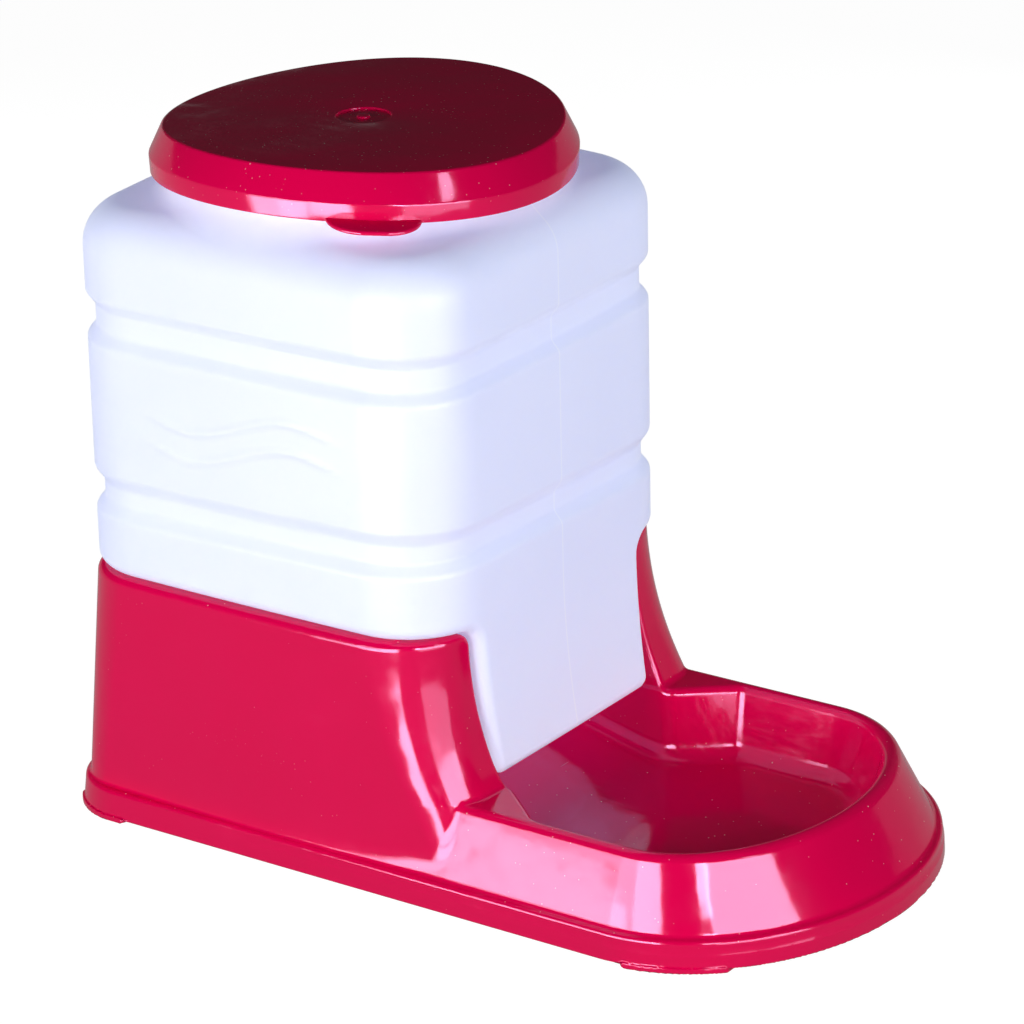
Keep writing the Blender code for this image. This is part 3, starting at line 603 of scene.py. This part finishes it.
def natural_polyethylene(name):
    """Blow-moulded natural polyethylene: milky white with a blue cast, waxy rather than glossy. Light spreads a little
    way inside it, which softens edges. A faint even bluish glow is painted on as emission: a painted light that stands
    in for what comes through from the far side, and lifts its shade. The mould's parting line runs over its front and
    back as a fine ridge, and it has hairline scratches and a few dark specks."""
    material, tree, output = new_material(name)
    rgba = {"data_type": "RGBA"}
    place = add_node(tree, "ShaderNodeTexCoord").outputs["Object"]
    cloud = add_node(tree, "ShaderNodeTexNoise", Vector=place, Scale=14.0, Detail=3.0, Roughness=0.5)  # 70 mm
    tone = add_node(tree, "ShaderNodeMix", rgba, i0=cloud.outputs["Fac"], i6=linear(MILK_DEEP), i7=linear(MILK))

    scratch = hairlines(tree, place, (0.4, 0.9, 1.3), 0.06, 0.06)  # 6.5 by 0.4 mm
    across = add_node(tree, "ShaderNodeSeparateXYZ", Vector=place).outputs["X"]
    off = add_node(tree, "ShaderNodeMath", {"operation": "ABSOLUTE"}, i0=across)
    seam = add_node(
        tree, "ShaderNodeMapRange", Value=off.outputs[0], From_Min=0.0001, From_Max=0.0005, To_Min=1.0, To_Max=0.0
    )
    fine = add_node(tree, "ShaderNodeMath", {"operation": "MAXIMUM"}, i0=scratch, i1=seam.outputs[0])
    pale = add_node(tree, "ShaderNodeMath", {"operation": "MULTIPLY"}, i0=fine.outputs[0], i1=0.2)
    tone = add_node(tree, "ShaderNodeMix", rgba, i0=pale.outputs[0], i6=tone.outputs[2], i7=linear(MILK_SCORED))
    grit = specks(tree, place, 45.0, 0.012, 0.12)  # cells 22 mm, specks 0.5 mm
    tone = add_node(tree, "ShaderNodeMix", rgba, i0=grit, i6=tone.outputs[2], i7=linear(GRIT))

    wax = add_node(tree, "ShaderNodeTexNoise", Vector=place, Scale=300.0, Detail=4.0, Roughness=0.6)  # 3 mm
    gloss = add_node(
        tree, "ShaderNodeMapRange", Value=wax.outputs["Fac"], From_Min=0.3, From_Max=0.7, To_Min=0.36, To_Max=0.46
    )
    ridge = {"i0": fine.outputs[0], "i1": 0.5, "i2": wax.outputs["Fac"]}
    raised = add_node(tree, "ShaderNodeMath", {"operation": "MULTIPLY_ADD"}, **ridge)
    bump = add_node(tree, "ShaderNodeBump", Strength=0.06, Distance=0.0006, Height=raised.outputs[0])
    shader = add_node(
        tree,
        "ShaderNodeBsdfPrincipled",
        Base_Color=tone.outputs[2],
        Roughness=gloss.outputs[0],
        Normal=bump.outputs["Normal"],
        IOR=1.52,
        Specular_IOR_Level=0.25,
        Subsurface_Weight=1.0,
        Subsurface_Radius=(0.9, 0.95, 1.0),
        Subsurface_Scale=0.003,
        # Painted glow: an even bluish emission stands in for light coming through the walls and lifts the shaded side.
        Emission_Color=(0.6, 0.7, 1.0, 1.0),
        Emission_Strength=0.3,
    )
    tree.links.new(shader.outputs[0], output.inputs[0])
    return material


hopper_points, hopper_faces, hopper_normals = shell(
    hopper_field,
    *skin_of(
        hopper_field,
        graded(-80, (-56, 1.5), (-50, 2.0), (-40, 1.1), (40, 4.0), (50, 1.1), (56, 2.0), (80, 1.5)),
        graded(-22, (-12, 1.0), (6, 1.5), (120, 4.0), (147, 1.4)),
        graded(
            OUTLET_EDGE,
            *((44, 1.2), (60, 2.2), (86, 3.6), (97, 0.85), (110, 2.6), (130, 1.25), (136, 2.5), (140, 1.6)),
            *((162, 1.2), (173, 2.0), (192, 1.25), (204, 2.4), (228, 1.3), (MOUTH_TOP, 2.0)),
        ),
    ),
    HOPPER_WALL,
    OUTLET_EDGE,
    MOUTH_TOP,
)
hopper = make_piece("feed_hopper", hopper_points, hopper_faces, hopper_normals)
hopper.data.materials.append(natural_polyethylene("natural_polyethylene_blow_moulded"))
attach(hopper, "hopper")
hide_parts("hopper")

# ---------------------------------------------------------------- lid
# The lid is one injection moulding in the same crimson polypropylene: flat on top with a sunk ring where the plastic
# came in, a chamfered brow, a short skirt and a thin tab to lift it by. It rests loosely on the hopper's mouth.

LID_TURNS = 288
LID_RIM, LID_SPRING = 73.4, 2.3
LID_STOPS = [  # (radius, height, rounding radius) from the lid's middle out, over the hem and back in
    (0.0, 245.2, 0),
    (2.2, 245.2, 0.3),
    (2.2, 244.4, 0.3),
    (9.5, 244.4, 0.3),
    (9.5, 245.2, 0.3),
    (40.0, 245.2, 0),
    (68.6, 245.2, 1.3),
    (LID_RIM, 235.4, 2.0),
    (73.1, 229.0, 0.5),
    (71.1, 229.0, 0.5),
    (71.4, 235.4, 0.8),
    (67.6, 243.2, 0.8),
    (40.0, 243.2, 0),
    (0.0, 243.2, 0),
]


def eased(stops, steps=6):
    """A section through the stops whose corners are arcs of each stop's radius."""
    places = []
    for k, (r, z, radius) in enumerate(stops):
        here = np.array([r, z])
        if radius == 0:
            places.append(here)
            continue
        into = here - np.array(stops[k - 1][:2])
        out = np.array(stops[k + 1][:2]) - here
        into, out = into / np.linalg.norm(into), out / np.linalg.norm(out)
        turn = math.acos(np.clip(into @ out, -1, 1))
        side = np.sign(into[0] * out[1] - into[1] * out[0])
        towards = side * np.array([-into[1], into[0]])
        centre = here - into * radius * math.tan(turn / 2) + towards * radius
        for step in range(steps + 1):
            angle = side * turn * step / steps
            spin = np.array([[math.cos(angle), -math.sin(angle)], [math.sin(angle), math.cos(angle)]])
            places.append(centre - spin @ towards * radius)
    return np.array(places)


def lid_bend(x, y):
    """How far the sprung lid stands up at its sides and down at its front and back."""
    return LID_SPRING * (x * x - (y - AXIS_Y) ** 2) / LID_RIM**2


def ring_quads(rings, turns):
    """Quads between each ring of points and the next one, where the points are in order, ring after ring."""
    row = np.arange(rings - 1)[:, None] * turns
    here = np.arange(turns)[None, :]
    after = (here + 1) % turns
    quads = np.stack([row + here, row + turns + here, row + turns + after, row + after], 2)
    return quads.reshape(-1, 4).tolist()


def turned_lid(section, turns):
    """The lid's points and faces: its section turned about its middle and bent, with both ends closed to a point."""
    angles = np.arange(turns) * 2 * np.pi / turns
    radii, heights = section[1:-1, :1], section[1:-1, 1:]
    x, y = radii * np.cos(angles), AXIS_Y + radii * np.sin(angles)
    rings = np.stack([x, y, heights + lid_bend(x, y)], 2).reshape(-1, 3)
    points = np.concatenate([rings, [[0, AXIS_Y, section[0, 1]], [0, AXIS_Y, section[-1, 1]]]])
    top, last = np.full(turns, len(rings)), len(rings) - turns
    here = np.arange(turns)
    after = (here + 1) % turns
    faces = ring_quads(len(radii), turns)
    faces += np.stack([top, here, after], 1).tolist()
    faces += np.stack([top + 1, last + after, last + here], 1).tolist()
    return points, faces


lid = make_piece("lid_cover", *turned_lid(eased(LID_STOPS), LID_TURNS), sharp=35)
dusty_crimson = crimson_polypropylene("dusty_crimson_polypropylene", 0.6)
lid.data.materials.append(dusty_crimson)
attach(lid, "lid")
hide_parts("lid")

# ---------------------------------------------------------------- finger tab
# The tab is part of the lid's moulding, in the same plastic: a thin tongue 32 mm wide with round corners that leaves
# the hem and droops a little. Fingers lift the lid by it.

TAB_ROOT, TAB_TIP, TAB_HALF, TAB_CORNER = 69.0, 82.4, 16.0, 12.5  # distances from the lid's middle, and in plan
TAB_MIDDLE, TAB_DROOP = 229.9, 1.6 / 13
TAB_HEADING = math.radians(218.5)
TAB_RIM = [(0.8, -0.8), (0.25, -0.6), (0.0, 0.0), (0.25, 0.6), (0.8, 0.8)]  # (inset, height) round the edge


def tongue_outline(steps=10):
    """The tab's outline in plan, (out, across) points from its left root round the tip to its right root: straight
    sides, and a quarter circle at each corner of the tip."""
    out, across = TAB_TIP - TAB_CORNER, TAB_HALF - TAB_CORNER
    arc = np.linspace(0, np.pi / 2, steps)
    left = np.stack([out + TAB_CORNER * np.sin(arc), -across - TAB_CORNER * np.cos(arc)], 1)
    right = np.stack([out + TAB_CORNER * np.cos(arc), across + TAB_CORNER * np.sin(arc)], 1)
    return np.concatenate([[(TAB_ROOT, -TAB_HALF)], left, right, [(TAB_ROOT, TAB_HALF)]])


def drooping_tongue(outline):
    """The tab's points and faces: rings round its rounded edge, each from the outline moved in and up or down."""
    rings, faces = [], []
    for inset, rise in TAB_RIM:
        way = outline.mean(0) - outline
        ring = outline + way / np.linalg.norm(way, axis=1, keepdims=True) * inset
        ring[[0, -1], 0] = TAB_ROOT
        out, side = ring[:, 0], ring[:, 1]
        x = out * math.cos(TAB_HEADING) - side * math.sin(TAB_HEADING)
        y = AXIS_Y + out * math.sin(TAB_HEADING) + side * math.cos(TAB_HEADING)
        z = TAB_MIDDLE + rise - TAB_DROOP * (out - TAB_ROOT) + lid_bend(x, y)
        rings.append(np.stack([x, y, z], 1))
    here = np.arange(len(outline))
    after = (here + 1) % len(outline)
    for level in range(len(TAB_RIM) - 1):
        low, high = level * len(outline), (level + 1) * len(outline)
        faces += np.stack([low + here, low + after, high + after, high + here], 1).tolist()
    faces += [here[::-1].tolist(), (high + here).tolist()]
    return np.concatenate(rings), faces


tab = make_piece("finger_tab", *drooping_tongue(tongue_outline()), sharp=50)
tab.data.materials.append(dusty_crimson)
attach(tab, "lid")

# ---------------------------------------------------------------- floor
# A wide white studio floor in matt paint, whose far edge curves up. The camera sees it at its full strength, and the
# gloss at only part of it, because at full strength it would wash the red out.

FLOOR_WHITE, FLOOR_IN_GLOSS, FLOOR_SHADE = 0.97, 0.3, ("#5C5C5C", "#606060")
FLOOR_REACH, FLOOR_RISE, FLOOR_BEND, FLOOR_TURNS = 6000.0, 950.0, 800.0, 96


def sweep_floor():
    """A round floor whose edge curves up into a low wall: a flat line and a quarter ellipse, turned about Z."""
    bend = np.linspace(0, np.pi / 2, 13)
    radii = np.concatenate([[400, 1500], FLOOR_REACH - FLOOR_BEND + FLOOR_BEND * np.sin(bend)])[:, None]
    heights = np.concatenate([[0, 0], FLOOR_RISE * (1 - np.cos(bend))])[:, None]
    angles = np.arange(FLOOR_TURNS) * 2 * np.pi / FLOOR_TURNS
    rings = np.stack([radii * np.cos(angles), radii * np.sin(angles), np.repeat(heights, FLOOR_TURNS, 1)], 2)
    points = np.concatenate([rings.reshape(-1, 3), [[0, 0, 0]]])
    middle = [[len(points) - 1, k, (k + 1) % FLOOR_TURNS] for k in range(FLOOR_TURNS)]
    return points, ring_quads(len(radii), FLOOR_TURNS) + middle


def studio_white(name):
    """Paint that shines white to the camera and, less so, to gloss, and takes light and shadow as a dark grey."""
    material, tree, output = new_material(name)
    path = add_node(tree, "ShaderNodeLightPath").outputs
    gloss = add_node(tree, "ShaderNodeMath", {"operation": "MULTIPLY"}, i0=path["Is Glossy Ray"], i1=FLOOR_IN_GLOSS)
    seen = add_node(tree, "ShaderNodeMath", {"operation": "MAXIMUM"}, i0=path["Is Camera Ray"], i1=gloss.outputs[0])
    through = {"i0": seen.outputs[0], "i1": path["Is Transmission Ray"]}
    seen = add_node(tree, "ShaderNodeMath", {"operation": "MAXIMUM"}, **through)
    place = add_node(tree, "ShaderNodeTexCoord").outputs["Object"]
    grain = add_node(tree, "ShaderNodeTexNoise", Vector=place, Scale=3.0).outputs["Fac"]  # 330 mm
    tone = add_node(
        tree, "ShaderNodeMix", {"data_type": "RGBA"}, i0=grain, i6=linear(FLOOR_SHADE[0]), i7=linear(FLOOR_SHADE[1])
    )
    shine = add_node(tree, "ShaderNodeEmission", Color=(1, 1, 1, 1), Strength=FLOOR_WHITE)
    dark = add_node(tree, "ShaderNodeEmission", Color=(0, 0, 0, 1), Strength=0.0)
    glow = add_node(tree, "ShaderNodeMixShader", i0=seen.outputs[0], i1=dark.outputs[0], i2=shine.outputs[0])
    matt = add_node(tree, "ShaderNodeBsdfDiffuse", Color=tone.outputs[2])
    both = add_node(tree, "ShaderNodeAddShader", i0=glow.outputs[0], i1=matt.outputs[0])
    tree.links.new(both.outputs[0], output.inputs[0])
    return material


floor = make_piece("studio_floor", *sweep_floor())
floor.data.materials.append(studio_white("white_studio_floor"))

# ---------------------------------------------------------------- light
# Five low soft lights round the feeder light it and don't show in its gloss. Cards nearer by show only in the gloss,
# where they draw the highlights. Most stand low, so that the lid's top doesn't mirror them in a view from the side.

SOFTBOXES = {  # azimuth in degrees from -Y towards -X, distance, width, low edge and high edge in metres, radiance
    "left_softbox": (96, 0.95, 0.42, 0.0, 0.5, 8.1),
    "left_back_softbox": (120, 0.95, 0.36, 0.1, 0.5, 4.0),
    "front_softbox": (19, 0.95, 1.03, 0.05, 0.5, 5.2),
    "right_softbox": (270, 0.95, 0.42, 0.0, 0.45, 4.5),
    "back_softbox": (195, 0.95, 0.42, 0.0, 0.45, 3.5),
}
CARDS = {
    "left_card_front": (78, 0.5, 0.18, 0.0, 0.28, 20.0),
    "left_card_middle": (97, 0.5, 0.16, 0.0, 0.27, 13.0),
    "left_card_back": (112, 0.5, 0.1, 0.0, 0.27, 8.0),
    "low_left_card": (106, 0.42, 0.22, 0.02, 0.13, 8.0),
    "front_card": (20.5, 0.5, 0.354, 0.13, 0.31, 14.5),
    "front_card_foot": (20.5, 0.5, 0.354, 0.0, 0.13, 4.0),
    "front_card_edge": (41.5, 0.5, 0.06, 0.2, 0.34, 25.0),
    "high_front_card": (5, 0.95, 0.14, 0.74, 0.92, 13.5),
}


def soft_light(name, azimuth, distance, width, low, high, radiance, card):
    """An upright rectangular lamp that faces the feeder. Its power comes from the brightness of its face: radiance
    times area times pi. A card shows in the gloss and lights nothing else; a softbox does the opposite."""
    lamp = bpy.data.lights.new(name, "AREA")
    lamp.shape = "RECTANGLE"
    lamp.size, lamp.size_y = width, high - low
    lamp.energy = radiance * width * (high - low) * math.pi
    item = bpy.data.objects.new(name, lamp)
    bpy.context.scene.collection.objects.link(item)
    turn = math.radians(azimuth)
    item.location = (-distance * math.sin(turn), -distance * math.cos(turn), (low + high) / 2)
    item.rotation_euler = (math.pi / 2, 0, -turn)
    item.visible_camera = False
    item.visible_glossy = card
    item.visible_diffuse = item.visible_transmission = not card


for lamps, card in ((SOFTBOXES, False), (CARDS, True)):
    for lamp_name, setting in lamps.items():
        soft_light(lamp_name, *setting, card)

world = bpy.data.worlds.new("dim_studio")
world.use_nodes = True
sky = world.node_tree.nodes["Background"].inputs
sky["Color"].default_value = (0.9, 0.93, 1.0, 1)
sky["Strength"].default_value = 0.03
bpy.context.scene.world = world

# ---------------------------------------------------------------- camera
# A long lens from the front left and above the feeder. It stands 1.6 m away, so that level edges run almost parallel.
# It is turned a degree about its own axis.

CAMERA_TARGET, CAMERA_DISTANCE = Vector((0, 0.0072, 0.1124)), 1.594
CAMERA_AZIMUTH, CAMERA_ELEVATION, CAMERA_ROLL = 55.05, 21.17, -1.19
LENS_LENGTH, SENSOR_WIDTH = 163.27, 36

azimuth, elevation, roll = (math.radians(angle) for angle in (CAMERA_AZIMUTH, CAMERA_ELEVATION, CAMERA_ROLL))
away = Vector((-math.sin(azimuth) * math.cos(elevation), -math.cos(azimuth) * math.cos(elevation), math.sin(elevation)))
right = (-away).cross(Vector((0, 0, 1))).normalized()
up = right.cross(-away)
level_right = math.cos(roll) * right + math.sin(roll) * up
level_up = -math.sin(roll) * right + math.cos(roll) * up

lens = bpy.data.cameras.new("long_lens")
lens.sensor_width = SENSOR_WIDTH
lens.lens = LENS_LENGTH
lens.clip_end = 50
camera = bpy.data.objects.new("camera", lens)
bpy.context.scene.collection.objects.link(camera)
turned = Matrix((level_right, level_up, away)).transposed().to_4x4()
camera.matrix_world = Matrix.Translation(CAMERA_TARGET + CAMERA_DISTANCE * away) @ turned
bpy.context.scene.camera = camera
bpy.context.scene.view_settings.view_transform = "Standard"
